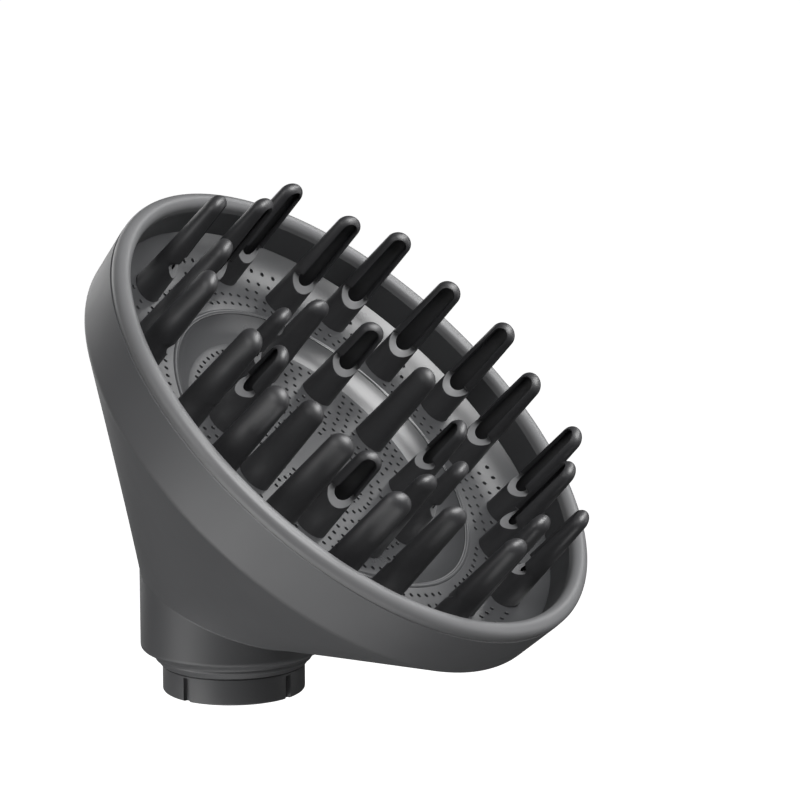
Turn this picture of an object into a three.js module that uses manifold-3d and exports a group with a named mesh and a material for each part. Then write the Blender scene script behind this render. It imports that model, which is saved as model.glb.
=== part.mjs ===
// Diffuser head for a hand-held air styler. Millimetres, +Z up along the neck axis.
// The origin is the centre of the spigot's lower end. The dish opens forwards (-Y) and upwards.
import * as THREE from 'three';
import { mergeVertices } from 'three/addons/utils/BufferGeometryUtils.js';
import Module from 'manifold-3d';

const wasm = await Module();
wasm.setup();

// ---------- driving dimensions ----------
const GAP = 0.3; // left between pieces that touch

// dish frame: its origin is the centre of the rim plane, its axis leans forwards from the neck axis
const DISH_TILT = THREE.MathUtils.degToRad(43.5);
const DISH_CENTRE = new THREE.Vector3(0, -31.5, 65.1);

const NECK_R = 20.5;
const NECK_BORE_R = 17.8;
const NECK_FOOT_Z = 8.1;
const CREASE_Z = 20.4; // height of the neck's upper edge on its side
const CREASE_SLOPE = 0.425; // rise of that edge towards the back, per mm
const WALL = 2.0;

const SPIGOT_R = 15.7;
const SPIGOT_BORE_R = 13.6;
const SPIGOT_TOP_Z = 13.0;
const NOTCH_COUNT = 4;
const NOTCH_FIRST = THREE.MathUtils.degToRad(-14);
const NOTCH_WIDTH = 1.9;
const NOTCH_DEPTH = 0.8;
const NOTCH_HEIGHT = 5.3;

// heights from here on are along the dish axis, from the rim plane
const SKIRT_REAR_R = 61.05;
const SKIRT_REAR_H = -13.1;
const SKIRT_FRONT_R = 62.4;
const SKIRT_FRONT_H = -1.3;
const LEDGE_H = -10.3; // shelf that carries the outer plate
const LEDGE_R = 57.6;
const LEDGE_THICK = 0.9;

const RIM_OUTER_R = 62.6;
const RIM_INNER_R = 58.8;
const RIM_TOP_H = 1.75;
const WELL_FOOT_H = -7.1;

const PLATE_TOP_H = -11.9;
const PLATE_THICK = 1.6;
const PLATE_INNER_R = 38.4;
const PLATE_OUTER_R = 58.3;
const PLATE_CURVE_R = 46.0; // outside this radius the plate curves up
const PLATE_CURVE = 20.4; // radius of that curve

const DISC_TOP_H = -15.8;
const DISC_R = 32.8;
const BAND_TOP_R = 38.1;
const BAND_TOP_H = -12.5;

const FAR_RING_R = 50.6; // the outer prongs stand on two radii in turn
const NEAR_RING_R = 45.5;
const INNER_RING_R = 24.9;
const OUTER_PRONGS = 20;
const INNER_PRONGS = 10;
const OUTER_TIP_H = 16.6;
const INNER_TIP_H = 6.7;
const OUTER_SLOT_H = -3.6; // lower end of the outer prongs' slots
const INNER_SLOT_H = -6.8;
const PRONG_ROOT_R = 3.85; // across the slot; the prongs are oval, thinner along it
const PRONG_TIP_R = 2.95;
const ROOT_DEPTH_SHARE = 0.88; // thickness along the slot over the width across it
const TIP_DEPTH_SHARE = 0.68;
const PRONG_WALL = 0.95;
const CORE_ROOT_R = 2.75;
const PRONG_FOOT_R = 4.5;
const PRONG_FOOT_THICK = 0.8;
const SLOT_WIDTH = 3.8;
const SLOT_TOP_WIDTH = 3.0;
const SLOT_TOP_DROP = 1.1; // from the tip down to the slot's upper end

const BACKING_THICK = 1.1;
const OUTER_BACKING_R = [39.2, 53.8];
const INNER_BACKING_R = [21.0, 28.8];
const BACKING_WINDOW_R = 1.9;
const SCREWS_PER_RING = 5;
const OUTER_SCREW_RING_R = 43.3;
const SCREW_SHANK_R = 0.95;
const SCREW_HEAD_R = 2.0;
const SCREW_HEAD_THICK = 1.0;
const BOSS_R = 2.2;
const CENTRE_BOSS_R = 3.2;
const CENTRE_BOSS_DROP = 0.4; // how far it stands below the disc
const DEFLECTOR_R = 9.6;
const DEFLECTOR_DROP = 0.7; // from the disc's underside down to the deflector
const DEFLECTOR_SEAT = 5.9; // from the deflector's top down to its screw's head
const DEFLECTOR_LENGTH = 9.9;

const ROUND_STEPS = 60; // facets round the housing and the rim
const PLATE_STEPS = 48; // facets round the pieces behind them
const PRONG_STEPS = 12;

// ---------- materials ----------
const plastic = (colour, roughness) =>
  new THREE.MeshStandardMaterial({ color: colour, roughness, metalness: 0 });
const shellPlastic = plastic(0x6a6b6d, 0.42);
const rimPlastic = plastic(0x808184, 0.38);
const platePlastic = plastic(0x77787b, 0.5);
const prongPlastic = plastic(0x3c3d3f, 0.36);
const innerPlastic = plastic(0x2c2d2f, 0.6);
const screwSteel = new THREE.MeshStandardMaterial({ color: 0x9a9c9f, roughness: 0.35, metalness: 1 });

// ---------- solids ----------
function toSolid(geometry) {
  geometry.deleteAttribute('normal');
  geometry.deleteAttribute('uv');
  const merged = mergeVertices(geometry, 1e-4);
  return new wasm.Manifold(new wasm.Mesh({
    numProp: 3,
    vertProperties: new Float32Array(merged.attributes.position.array),
    triVerts: new Uint32Array(merged.index.array),
  }));
}

function toGeometry(solid) {
  const mesh = solid.getMesh();
  const geometry = new THREE.BufferGeometry();
  geometry.setAttribute('position', new THREE.BufferAttribute(mesh.vertProperties, 3));
  geometry.setIndex(new THREE.BufferAttribute(mesh.triVerts, 1));
  return geometry;
}

// Turns a closed outline of [radius, height] points about +Z.
function turned(outline, steps = ROUND_STEPS, depthShareAt = () => 1) {
  const points = outline.map(([r, h]) => new THREE.Vector2(r, h));
  points.push(points[0].clone());
  const geometry = new THREE.LatheGeometry(points, steps);
  geometry.rotateX(Math.PI / 2);
  const spots = geometry.attributes.position;
  for (let i = 0; i < spots.count; i += 1) {
    spots.setX(i, spots.getX(i) * depthShareAt(spots.getZ(i)));
  }
  const solid = toSolid(geometry);
  return solid.volume() < 0 ? toSolid(flipped(geometry)) : solid;
}

function flipped(geometry) {
  const copy = geometry.clone();
  const index = copy.index.array;
  for (let i = 0; i < index.length; i += 3) {
    [index[i], index[i + 1]] = [index[i + 1], index[i]];
  }
  return copy;
}

// A round peg about +Z, used to add bosses and to cut holes.
function peg(radius, lowH, highH, x = 0, y = 0, steps = 10) {
  const geometry = new THREE.CylinderGeometry(radius, radius, highH - lowH, steps);
  geometry.rotateX(Math.PI / 2);
  geometry.translate(x, y, (lowH + highH) / 2);
  return toSolid(geometry);
}

const ringAngle = (index, count, offset = 0) => offset + (2 * Math.PI * index) / count;
const onRing = (radius, angle) => [radius * Math.cos(angle), radius * Math.sin(angle)];

// Joins loops of points, each with the same count, into one closed ring-shaped body.
function lofted(loops) {
  const steps = loops[0].length;
  const positions = loops.flat().flatMap((p) => [p.x, p.y, p.z]);
  const index = [];
  for (let i = 0; i < loops.length; i += 1) {
    const next = (i + 1) % loops.length;
    for (let j = 0; j < steps; j += 1) {
      const a = i * steps + j;
      const b = i * steps + ((j + 1) % steps);
      const c = next * steps + j;
      const d = next * steps + ((j + 1) % steps);
      index.push(a, b, d, a, d, c);
    }
  }
  const geometry = new THREE.BufferGeometry();
  geometry.setAttribute('position', new THREE.Float32BufferAttribute(positions, 3));
  geometry.setIndex(index);
  return geometry;
}

// ---------- the two frames ----------
const acrossDish = new THREE.Vector3(0, Math.cos(DISH_TILT), Math.sin(DISH_TILT));
const dishAxis = new THREE.Vector3(0, -Math.sin(DISH_TILT), Math.cos(DISH_TILT));

function loop(pointAt) {
  return Array.from({ length: ROUND_STEPS }, (_, i) => pointAt(ringAngle(i, ROUND_STEPS)));
}

const neckLoop = (r, z) =>
  loop((a) => new THREE.Vector3(r * Math.cos(a), r * Math.sin(a), z));

const creaseLoop = (r, z) =>
  loop((a) => new THREE.Vector3(r * Math.cos(a), r * Math.sin(a), z + r * Math.sin(a) * CREASE_SLOPE));

const dishLoop = (r, h) =>
  loop((a) => new THREE.Vector3(r * Math.cos(a), 0, 0)
    .addScaledVector(acrossDish, r * Math.sin(a))
    .addScaledVector(dishAxis, h)
    .add(DISH_CENTRE));

// ---------- pieces on the neck axis ----------
// Neck, slanted funnel and skirt in one wall, with the shelf for the outer plate inside.
function housingShell() {
  const loops = [
    neckLoop(NECK_BORE_R, NECK_FOOT_Z),
    neckLoop(18.9, 8.55),
    neckLoop(19.8, 9.25),
    neckLoop(20.35, 10.0),
    neckLoop(NECK_R, 10.8),
    creaseLoop(NECK_R, CREASE_Z),
    dishLoop(SKIRT_REAR_R, SKIRT_REAR_H),
    dishLoop(SKIRT_FRONT_R, SKIRT_FRONT_H),
    dishLoop(60.3, SKIRT_FRONT_H),
    dishLoop(60.2, LEDGE_H),
    dishLoop(LEDGE_R, LEDGE_H),
    dishLoop(LEDGE_R, LEDGE_H - LEDGE_THICK),
    dishLoop(SKIRT_REAR_R - WALL, SKIRT_REAR_H + 0.8),
    creaseLoop(NECK_BORE_R, CREASE_Z + 1.2),
  ];
  const geometry = lofted(loops);
  const solid = toSolid(geometry);
  return toGeometry(solid.volume() < 0 ? toSolid(flipped(geometry)) : solid);
}

// Spigot that plugs into the styler: a tube with four key notches and a rounded shoulder.
function couplingSpigot() {
  const flangeR = NECK_BORE_R - GAP;
  let solid = turned([
    [SPIGOT_BORE_R, 0],
    [SPIGOT_R - 0.5, 0],
    [SPIGOT_R, 0.5],
    [SPIGOT_R, 6.3],
    [16.6, 6.6],
    [17.25, 7.2],
    [flangeR, 7.9],
    [flangeR, SPIGOT_TOP_Z],
    [16.6, SPIGOT_TOP_Z],
    [SPIGOT_BORE_R, 9.5],
  ], 48);
  for (let i = 0; i < NOTCH_COUNT; i += 1) {
    const notch = new THREE.BoxGeometry(2 * NOTCH_DEPTH, NOTCH_WIDTH, 2 * NOTCH_HEIGHT);
    notch.translate(SPIGOT_R, 0, 0);
    notch.rotateZ(ringAngle(i, NOTCH_COUNT, NOTCH_FIRST));
    solid = solid.subtract(toSolid(notch));
  }
  return toGeometry(solid);
}

// ---------- pieces on the dish axis ----------
// Soft rolled rim, with the wall of the well hanging from it.
function rimBezel() {
  return toGeometry(turned([
    [62.55, -1.0],
    [RIM_OUTER_R, -0.2],
    [62.3, 0.6],
    [61.4, 1.35],
    [60.3, RIM_TOP_H],
    [59.4, 1.7],
    [RIM_INNER_R, 1.2],
    [58.7, 0.4],
    [58.6, WELL_FOOT_H],
    [60.0, WELL_FOOT_H],
    [60.0, -1.0],
  ]));
}

// Height of the outer plate's upper face: flat, then curving up towards the well wall.
function plateHeight(r) {
  const out = Math.max(0, r - PLATE_CURVE_R);
  return PLATE_TOP_H + PLATE_CURVE - Math.sqrt(PLATE_CURVE ** 2 - out ** 2);
}

function outerPlate() {
  const upper = [46, 50.6, 54.5, PLATE_OUTER_R].map((r) => [r, plateHeight(r)]);
  const lower = upper.map(([r, h]) => [r, h - PLATE_THICK]).reverse();
  let solid = turned([
    [PLATE_INNER_R, PLATE_TOP_H - PLATE_THICK],
    [PLATE_INNER_R, PLATE_TOP_H],
    [38.7, PLATE_TOP_H + 0.35],
    [39.2, PLATE_TOP_H + 0.3],
    [39.5, PLATE_TOP_H],
    ...upper,
    ...lower,
  ], PLATE_STEPS);
  const footH = PLATE_TOP_H - PLATE_THICK - GAP;
  for (const { radius, angle } of outerProngPlaces()) {
    const [x, y] = onRing(radius, angle);
    solid = solid.subtract(peg(PRONG_ROOT_R + GAP, footH, PLATE_TOP_H + 3, x, y));
  }
  for (const [x, y] of outerScrewPlaces()) {
    solid = solid.add(peg(BOSS_R, footH - PRONG_FOOT_THICK, PLATE_TOP_H - 0.5, x, y));
    solid = solid.subtract(peg(SCREW_SHANK_R + GAP, footH - 2, PLATE_TOP_H - 0.6, x, y, 6));
  }
  return toGeometry(solid);
}

// Bowl-edged centre disc. Its outer flange is held under the outer plate.
function innerDish() {
  const flangeH = PLATE_TOP_H - PLATE_THICK - GAP;
  const flangeFoot = flangeH - PRONG_FOOT_THICK;
  let solid = turned([
    [0, DISC_TOP_H],
    [DISC_R, DISC_TOP_H],
    [35.2, -15.0],
    [37.0, -13.9],
    [BAND_TOP_R, BAND_TOP_H],
    [BAND_TOP_R, flangeH],
    [40.8, flangeH],
    [40.8, flangeFoot],
    [38.0, flangeFoot],
    [36.2, -16.4],
    [33.4, DISC_TOP_H - PLATE_THICK],
    [0, DISC_TOP_H - PLATE_THICK],
  ], PLATE_STEPS);
  const discFoot = DISC_TOP_H - PLATE_THICK;
  for (let i = 0; i < INNER_PRONGS; i += 1) {
    const [x, y] = onRing(INNER_RING_R, ringAngle(i, INNER_PRONGS));
    solid = solid.subtract(peg(PRONG_ROOT_R + GAP, discFoot - 1, DISC_TOP_H + 1, x, y));
  }
  for (const [x, y] of innerScrewPlaces()) {
    solid = solid.add(peg(BOSS_R, discFoot - GAP - PRONG_FOOT_THICK, DISC_TOP_H - 0.5, x, y));
    solid = solid.subtract(peg(SCREW_SHANK_R + GAP, discFoot - 3, DISC_TOP_H - 0.6, x, y, 6));
  }
  solid = solid.add(peg(CENTRE_BOSS_R, discFoot - CENTRE_BOSS_DROP, DISC_TOP_H - 0.5));
  solid = solid.subtract(peg(SCREW_SHANK_R + GAP, discFoot - 3, DISC_TOP_H - 0.6, 0, 0, 6));
  return toGeometry(solid);
}

// The outer prongs stand on the far and the near radius in turn.
function outerProngPlaces() {
  return Array.from({ length: OUTER_PRONGS }, (_, i) => ({
    radius: i % 2 === 0 ? FAR_RING_R : NEAR_RING_R,
    angle: ringAngle(i, OUTER_PRONGS),
  }));
}

function outerScrewPlaces() {
  return Array.from({ length: SCREWS_PER_RING }, (_, i) =>
    onRing(OUTER_SCREW_RING_R, ringAngle(i, SCREWS_PER_RING)));
}

function innerScrewPlaces() {
  return Array.from({ length: SCREWS_PER_RING }, (_, i) =>
    onRing(INNER_RING_R, ringAngle(i, SCREWS_PER_RING, Math.PI / INNER_PRONGS)));
}

// A ring that clamps the prongs' feet from behind, with an air hole under each prong.
function backingRing([innerR, outerR], topH, airPlaces, windowPlaces, screwPlaces) {
  const footH = topH - BACKING_THICK;
  let solid = turned([
    [innerR, footH],
    [outerR, footH],
    [outerR, topH],
    [innerR, topH],
  ], PLATE_STEPS);
  for (const [x, y] of airPlaces) {
    solid = solid.subtract(peg(CORE_ROOT_R, footH - 1, topH + 1, x, y, 8));
  }
  for (const [x, y] of windowPlaces) {
    solid = solid.subtract(peg(BACKING_WINDOW_R, footH - 1, topH + 1, x, y, 8));
  }
  for (const [x, y] of screwPlaces) {
    solid = solid.subtract(peg(SCREW_SHANK_R + GAP, footH - 1, topH + 1, x, y, 6));
  }
  return toGeometry(solid);
}

// Hollow tapering oval finger with a domed tip, a round foot to clamp and one long air slot on
// its +X side.
function prong(plateTopH, tipH, slotH) {
  const footTop = plateTopH - PLATE_THICK - GAP;
  const footH = footTop - PRONG_FOOT_THICK;
  const domeH = tipH - PRONG_TIP_R;
  const coreTipR = PRONG_TIP_R - PRONG_WALL;
  const depthShareAt = (h) => {
    if (h < footTop + 0.01) return 1;
    const climbed = Math.min((h - plateTopH) / (domeH - plateTopH), 1);
    return ROOT_DEPTH_SHARE + (TIP_DEPTH_SHARE - ROOT_DEPTH_SHARE) * Math.max(climbed, 0);
  };
  const domePoint = (r, fraction) => {
    const angle = (fraction * Math.PI) / 2;
    return [r * Math.cos(angle), domeH + r * Math.sin(angle)];
  };
  const outer = turned([
    [0, footH],
    [PRONG_FOOT_R, footH],
    [PRONG_FOOT_R, footTop],
    [PRONG_ROOT_R, footTop],
    [PRONG_ROOT_R, plateTopH],
    domePoint(PRONG_TIP_R, 0),
    domePoint(PRONG_TIP_R, 0.4),
    domePoint(PRONG_TIP_R, 0.75),
    [0, tipH],
  ], PRONG_STEPS, depthShareAt);
  const core = turned([
    [0, footH - 1],
    [CORE_ROOT_R, footH - 1],
    [CORE_ROOT_R, plateTopH],
    domePoint(coreTipR, 0),
    domePoint(coreTipR, 0.6),
    [0, domeH + coreTipR],
  ], 8, depthShareAt);
  return toGeometry(outer.subtract(core).subtract(slotCutter(slotH, tipH - SLOT_TOP_DROP)));
}

// Round-ended slot, cut from the finger's axis out through its +X side.
function slotCutter(lowH, highH) {
  const half = SLOT_WIDTH / 2;
  const topHalf = SLOT_TOP_WIDTH / 2;
  const outline = new THREE.Shape();
  outline.moveTo(half, lowH + half);
  outline.lineTo(topHalf, highH - topHalf);
  outline.absarc(0, highH - topHalf, topHalf, 0, Math.PI);
  outline.lineTo(-half, lowH + half);
  outline.absarc(0, lowH + half, half, Math.PI, 2 * Math.PI);
  const geometry = new THREE.ExtrudeGeometry(outline, {
    depth: 6,
    bevelEnabled: false,
    curveSegments: 4,
  });
  geometry.rotateX(Math.PI / 2); // outline's height runs along +Z
  geometry.rotateZ(Math.PI / 2); // extrusion runs along +X
  return toSolid(geometry);
}

const DEFLECTOR_TOP_H = DISC_TOP_H - PLATE_THICK - DEFLECTOR_DROP;

// Spreader cone behind the dish's plain centre.
function airDeflector() {
  const topH = DEFLECTOR_TOP_H;
  return toGeometry(turned([
    [SCREW_SHANK_R + GAP, topH],
    [DEFLECTOR_R, topH - 0.8],
    [DEFLECTOR_R, topH - 1.6],
    [3.4, topH - DEFLECTOR_LENGTH],
    [2.4, topH - DEFLECTOR_LENGTH],
    [2.4, topH - DEFLECTOR_SEAT],
    [SCREW_SHANK_R + GAP, topH - DEFLECTOR_SEAT],
  ], 24));
}

// Screw driven towards +Z, its head's upper face at headH.
function screw(headH, tipH) {
  return toGeometry(turned([
    [0, headH - SCREW_HEAD_THICK],
    [SCREW_HEAD_R - 0.3, headH - SCREW_HEAD_THICK],
    [SCREW_HEAD_R, headH - 0.5],
    [SCREW_HEAD_R, headH],
    [SCREW_SHANK_R, headH],
    [SCREW_SHANK_R, tipH - 0.4],
    [0, tipH],
  ], 8));
}

// ---------- assembly ----------
const diffuser = new THREE.Group();
const dish = new THREE.Group();
dish.position.copy(DISH_CENTRE);
dish.rotation.x = DISH_TILT;
diffuser.add(dish);

function place(parent, name, geometry, material, x = 0, y = 0, turn = 0) {
  const mesh = new THREE.Mesh(geometry, material);
  mesh.name = name;
  mesh.position.set(x, y, 0);
  mesh.rotation.z = turn;
  parent.add(mesh);
}

const twoDigits = (i) => String(i + 1).padStart(2, '0');

place(diffuser, 'housing_shell', housingShell(), shellPlastic);
place(diffuser, 'coupling_spigot', couplingSpigot(), shellPlastic);
place(dish, 'rim_bezel', rimBezel(), rimPlastic);
place(dish, 'outer_plate', outerPlate(), platePlastic);
place(dish, 'inner_dish', innerDish(), platePlastic);

const outerProng = prong(PLATE_TOP_H, OUTER_TIP_H, OUTER_SLOT_H);
outerProngPlaces().forEach(({ radius, angle }, i) => {
  const [x, y] = onRing(radius, angle);
  place(dish, `outer_prong_${twoDigits(i)}`, outerProng.clone(), prongPlastic, x, y, angle + Math.PI);
});

// The inner prongs' slots face out and in, in turn.
const innerProng = prong(DISC_TOP_H, INNER_TIP_H, INNER_SLOT_H);
for (let i = 0; i < INNER_PRONGS; i += 1) {
  const angle = ringAngle(i, INNER_PRONGS);
  const [x, y] = onRing(INNER_RING_R, angle);
  const turn = i % 2 === 0 ? angle : angle + Math.PI;
  place(dish, `inner_prong_${twoDigits(i)}`, innerProng.clone(), prongPlastic, x, y, turn);
}

const outerBackingH = PLATE_TOP_H - PLATE_THICK - PRONG_FOOT_THICK - 2 * GAP;
const innerBackingH = DISC_TOP_H - PLATE_THICK - PRONG_FOOT_THICK - 2 * GAP;
const outerAir = outerProngPlaces().map(({ radius, angle }) => onRing(radius, angle));
const innerAir = Array.from({ length: INNER_PRONGS }, (_, i) =>
  onRing(INNER_RING_R, ringAngle(i, INNER_PRONGS)));
const windows = Array.from({ length: SCREWS_PER_RING }, (_, i) =>
  onRing(OUTER_SCREW_RING_R, ringAngle(i, SCREWS_PER_RING, Math.PI / SCREWS_PER_RING)));

place(dish, 'outer_backing_ring',
  backingRing(OUTER_BACKING_R, outerBackingH, outerAir, windows, outerScrewPlaces()), innerPlastic);
place(dish, 'inner_backing_ring',
  backingRing(INNER_BACKING_R, innerBackingH, innerAir, [], innerScrewPlaces()), innerPlastic);
place(dish, 'air_deflector', airDeflector(), innerPlastic);

const outerHeadH = outerBackingH - BACKING_THICK - GAP;
outerScrewPlaces().forEach(([x, y], i) => {
  place(dish, `outer_ring_screw_${i + 1}`, screw(outerHeadH, PLATE_TOP_H - 0.8), screwSteel, x, y);
});
const innerHeadH = innerBackingH - BACKING_THICK - GAP;
innerScrewPlaces().forEach(([x, y], i) => {
  place(dish, `inner_ring_screw_${i + 1}`, screw(innerHeadH, DISC_TOP_H - 0.8), screwSteel, x, y);
});
place(dish, 'deflector_screw',
  screw(DEFLECTOR_TOP_H - DEFLECTOR_SEAT - GAP, DISC_TOP_H - 0.8), screwSteel);

export default diffuser;
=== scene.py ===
"""Diffuser head for a hand-held air styler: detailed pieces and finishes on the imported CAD."""

import math

import bmesh
import bpy
from mathutils import Matrix, Vector
from mathutils.geometry import delaunay_2d_cdt
from mathutils.kdtree import KDTree


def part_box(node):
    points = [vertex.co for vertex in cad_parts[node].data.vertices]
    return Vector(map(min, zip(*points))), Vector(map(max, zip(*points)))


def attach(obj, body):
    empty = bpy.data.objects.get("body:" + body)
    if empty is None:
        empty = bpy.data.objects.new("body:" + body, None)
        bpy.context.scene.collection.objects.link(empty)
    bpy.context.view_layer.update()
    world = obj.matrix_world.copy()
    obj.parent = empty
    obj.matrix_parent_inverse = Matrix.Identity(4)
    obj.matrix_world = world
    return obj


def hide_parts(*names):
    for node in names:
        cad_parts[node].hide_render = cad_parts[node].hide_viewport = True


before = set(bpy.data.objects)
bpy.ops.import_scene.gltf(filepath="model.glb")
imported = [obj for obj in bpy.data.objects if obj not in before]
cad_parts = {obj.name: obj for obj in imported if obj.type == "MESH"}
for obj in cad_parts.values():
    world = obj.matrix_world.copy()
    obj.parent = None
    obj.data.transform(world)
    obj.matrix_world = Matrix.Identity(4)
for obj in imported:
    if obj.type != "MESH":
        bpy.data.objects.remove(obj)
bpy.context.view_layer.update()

MM = 0.001  # every size below is in millimetres, and becomes metres where a mesh is made
FULL_TURN = 2 * math.pi
ROUND_STEPS = 240  # facets round the large turned pieces
SHARP_DEG = 30  # edges sharper than this are shaded as edges

# ---------- driving dimensions of the dish ----------
# heights are along the dish axis, from the rim plane
RIM_TOP_H = 1.75
PLATE_TOP_H = -11.9
PLATE_THICK = 1.6
PLATE_INNER_R = 38.26
PLATE_OUTER_R = 58.9
PLATE_CURVE_R = 46.0  # outside this radius the plate curves up
PLATE_CURVE = 20.4  # radius of that curve
RIDGE_R = 38.98
RIDGE_HALF_WIDTH = 0.46
RIDGE_RISE = 0.26

DISC_TOP_H = -15.8
DISC_R = 32.8
DISC_STEP = 0.06  # how far the disc stands above the foot of the band round it
STEP_WIDTH = 0.1
BAND_TOP_R = 38.2
BAND_TOP_H = -12.05
HUB_R = 9.2

PRONG_ROOT_R = 3.85  # across the slot; the prongs are oval, thinner along it
PRONG_TIP_R = 2.95
ROOT_DEPTH_SHARE = 0.88  # thickness along the slot over the width across it
TIP_DEPTH_SHARE = 0.68


# ---------- the dish's own frame ----------
def reach(node, direction):
    """Lowest and highest point of a CAD node along a direction, in millimetres."""
    along = [v.co.dot(direction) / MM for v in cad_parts[node].data.vertices]
    return min(along), max(along)


def middle(node, direction):
    """Half way between a CAD node's lowest and highest point along a direction."""
    return sum(reach(node, direction)) / 2


def box_centre(node):
    """Centre of a CAD node's box, in metres."""
    low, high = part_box(node)
    return (low + high) / 2


DISH_X = Vector((1, 0, 0))
DISH_Y = (box_centre("outer_prong_06") - box_centre("outer_prong_16")).normalized()
DISH_AXIS = DISH_X.cross(DISH_Y)
dish_y = middle("rim_bezel", DISH_Y)
dish_h = reach("rim_bezel", DISH_AXIS)[1] - RIM_TOP_H
dish_origin = DISH_Y * dish_y + DISH_AXIS * dish_h
dish_turn = Matrix((DISH_X, DISH_Y, DISH_AXIS)).transposed().to_4x4()
DISH = Matrix.Translation(dish_origin * MM) @ dish_turn
NECK = Matrix.Identity(4)  # the neck's axis is the part's own Z


# ---------- mesh making ----------
def circle(x, y, radius, steps, turn=0.0):
    """Points round a circle, anticlockwise."""
    angles = [turn + FULL_TURN * i / steps for i in range(steps)]
    return [(x + radius * math.cos(a), y + radius * math.sin(a)) for a in angles]


def arc(centre_r, centre_h, radius, from_deg, to_deg, steps):
    """Outline points on an arc, both ends included."""
    turn_deg = to_deg - from_deg
    angles = [math.radians(from_deg + turn_deg * i / steps) for i in range(steps + 1)]
    return [(centre_r + radius * math.cos(a), centre_h + radius * math.sin(a)) for a in angles]


def outward(verts, faces):
    """The same closed mesh with its faces turned outwards."""
    volume = 0.0
    for face in faces:
        a = Vector(verts[face[0]])
        for i in range(1, len(face) - 1):
            volume += a.dot(Vector(verts[face[i]]).cross(Vector(verts[face[i + 1]])))
    if volume < 0:
        faces = [tuple(reversed(face)) for face in faces]
    return verts, faces


def strip_faces(rows, closed=True):
    """Faces between each row of vertices and the next. A repeated vertex makes a triangle."""
    faces = []
    for low, high in zip(rows, rows[1:]):
        count = len(low)
        for i in range(count if closed else count - 1):
            j = (i + 1) % count
            face = []
            for v in (low[i], low[j], high[j], high[i]):
                if v not in face:
                    face.append(v)
            if len(face) > 2:
                faces.append(tuple(face))
    return faces


def turned(outline):
    """A closed outline of (radius, height) points, turned about Z."""
    verts, rows = [], []
    for r, h in outline:
        rows.append(list(range(len(verts), len(verts) + ROUND_STEPS)))
        verts.extend((x, y, h) for x, y in circle(0, 0, r, ROUND_STEPS))
    return outward(verts, strip_faces(rows + rows[:1]))


def lofted(loops):
    """Loops of points, each with the same count, as one closed ring-shaped body."""
    steps = len(loops[0])
    verts = [tuple(p) for one in loops for p in one]
    rows = [list(range(i * steps, (i + 1) * steps)) for i in range(len(loops))]
    return outward(verts, strip_faces(rows + rows[:1]))


def eased_loops(before, corner, after, ease_before, ease_after, steps=5):
    """Loops that round a corner between two others, point by point."""
    loops = []
    for k in range(steps + 1):
        t = k / steps
        one = []
        for a, b, c in zip(before, corner, after):
            start = b + (a - b).normalized() * ease_before
            end = b + (c - b).normalized() * ease_after
            one.append(start * (1 - t) ** 2 + b * (2 * t * (1 - t)) + end * t ** 2)
        loops.append(one)
    return loops


def make_mesh(name, shape, sharp_deg=SHARP_DEG):
    """A smooth-shaded mesh of (verts, faces), in metres."""
    verts, faces = shape
    mesh = bpy.data.meshes.new(name)
    mesh.from_pydata([[c * MM for c in v] for v in verts], [], faces)
    mesh.shade_smooth()
    mesh.set_sharp_from_angle(angle=math.radians(sharp_deg))
    return mesh


def add_piece(name, mesh, matrix, node, material=None):
    """A piece that rides on the one body and stands for a CAD node. Its place is in its mesh.
    A material is given only for a mesh that has none yet."""
    placed = mesh.copy()
    placed.name = name
    placed.transform(matrix)
    if material:
        placed.materials.append(material)
    piece = bpy.data.objects.new(name, placed)
    bpy.context.scene.collection.objects.link(piece)
    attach(piece, "root")
    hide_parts(node)


# ---------- plates with holes ----------
BEND_POINT_GAP = 0.25  # least distance from a hole's mouth to a vertex that only follows a bend
MERGE_DISTANCE = 1e-6  # points nearer than this become one


class Hole:
    """A hole through a plate, round or oval, with a bevelled mouth."""

    def __init__(self, x, y, radius, sides, bevel=0.0, depth_share=1.0):
        self.x, self.y = x, y
        self.radius, self.bevel, self.sides = radius, bevel, sides
        self.mouth = radius + bevel
        self.depth_share = depth_share  # size along the plate's radius over the size across it

    def squeezed(self, point):
        """A point of the hole's edge, moved so that the hole is oval."""
        centre = Vector((self.x, self.y))
        along = centre.normalized()
        return point - along * ((point - centre).dot(along) * (1 - self.depth_share))

    def centre_limit(self):
        """Triangles whose centres are nearer than this lie in the mouth, and the others outside.
        It is half way between the outermost triangle's centre and the middle of a side."""
        outermost = (1 + 2 * math.cos(FULL_TURN / self.sides)) / 3
        side = math.cos(math.pi / self.sides)
        return self.mouth * (outermost + side) / 2


class HoleFinder:
    """Tells whether a point is near any of some holes."""

    def __init__(self, holes):
        self.groups = []  # for each size of hole, its centre limit, its mouth and its centres
        for size in sorted({(h.mouth, h.sides) for h in holes}):
            same = [h for h in holes if (h.mouth, h.sides) == size]
            tree = KDTree(len(same))
            for i, h in enumerate(same):
                tree.insert((h.x, h.y, 0), i)
            tree.balance()
            self.groups.append((same[0].centre_limit(), same[0].mouth, tree))

    def clear(self, x, y, margin):
        """Whether a point is farther than a margin from every mouth."""
        return all(tree.find((x, y, 0))[2] > mouth + margin for _, mouth, tree in self.groups)

    def on_plate(self, centre):
        """Whether the triangle with this centre lies outside every mouth."""
        return all(tree.find((*centre, 0))[2] > limit for limit, _, tree in self.groups)


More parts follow.
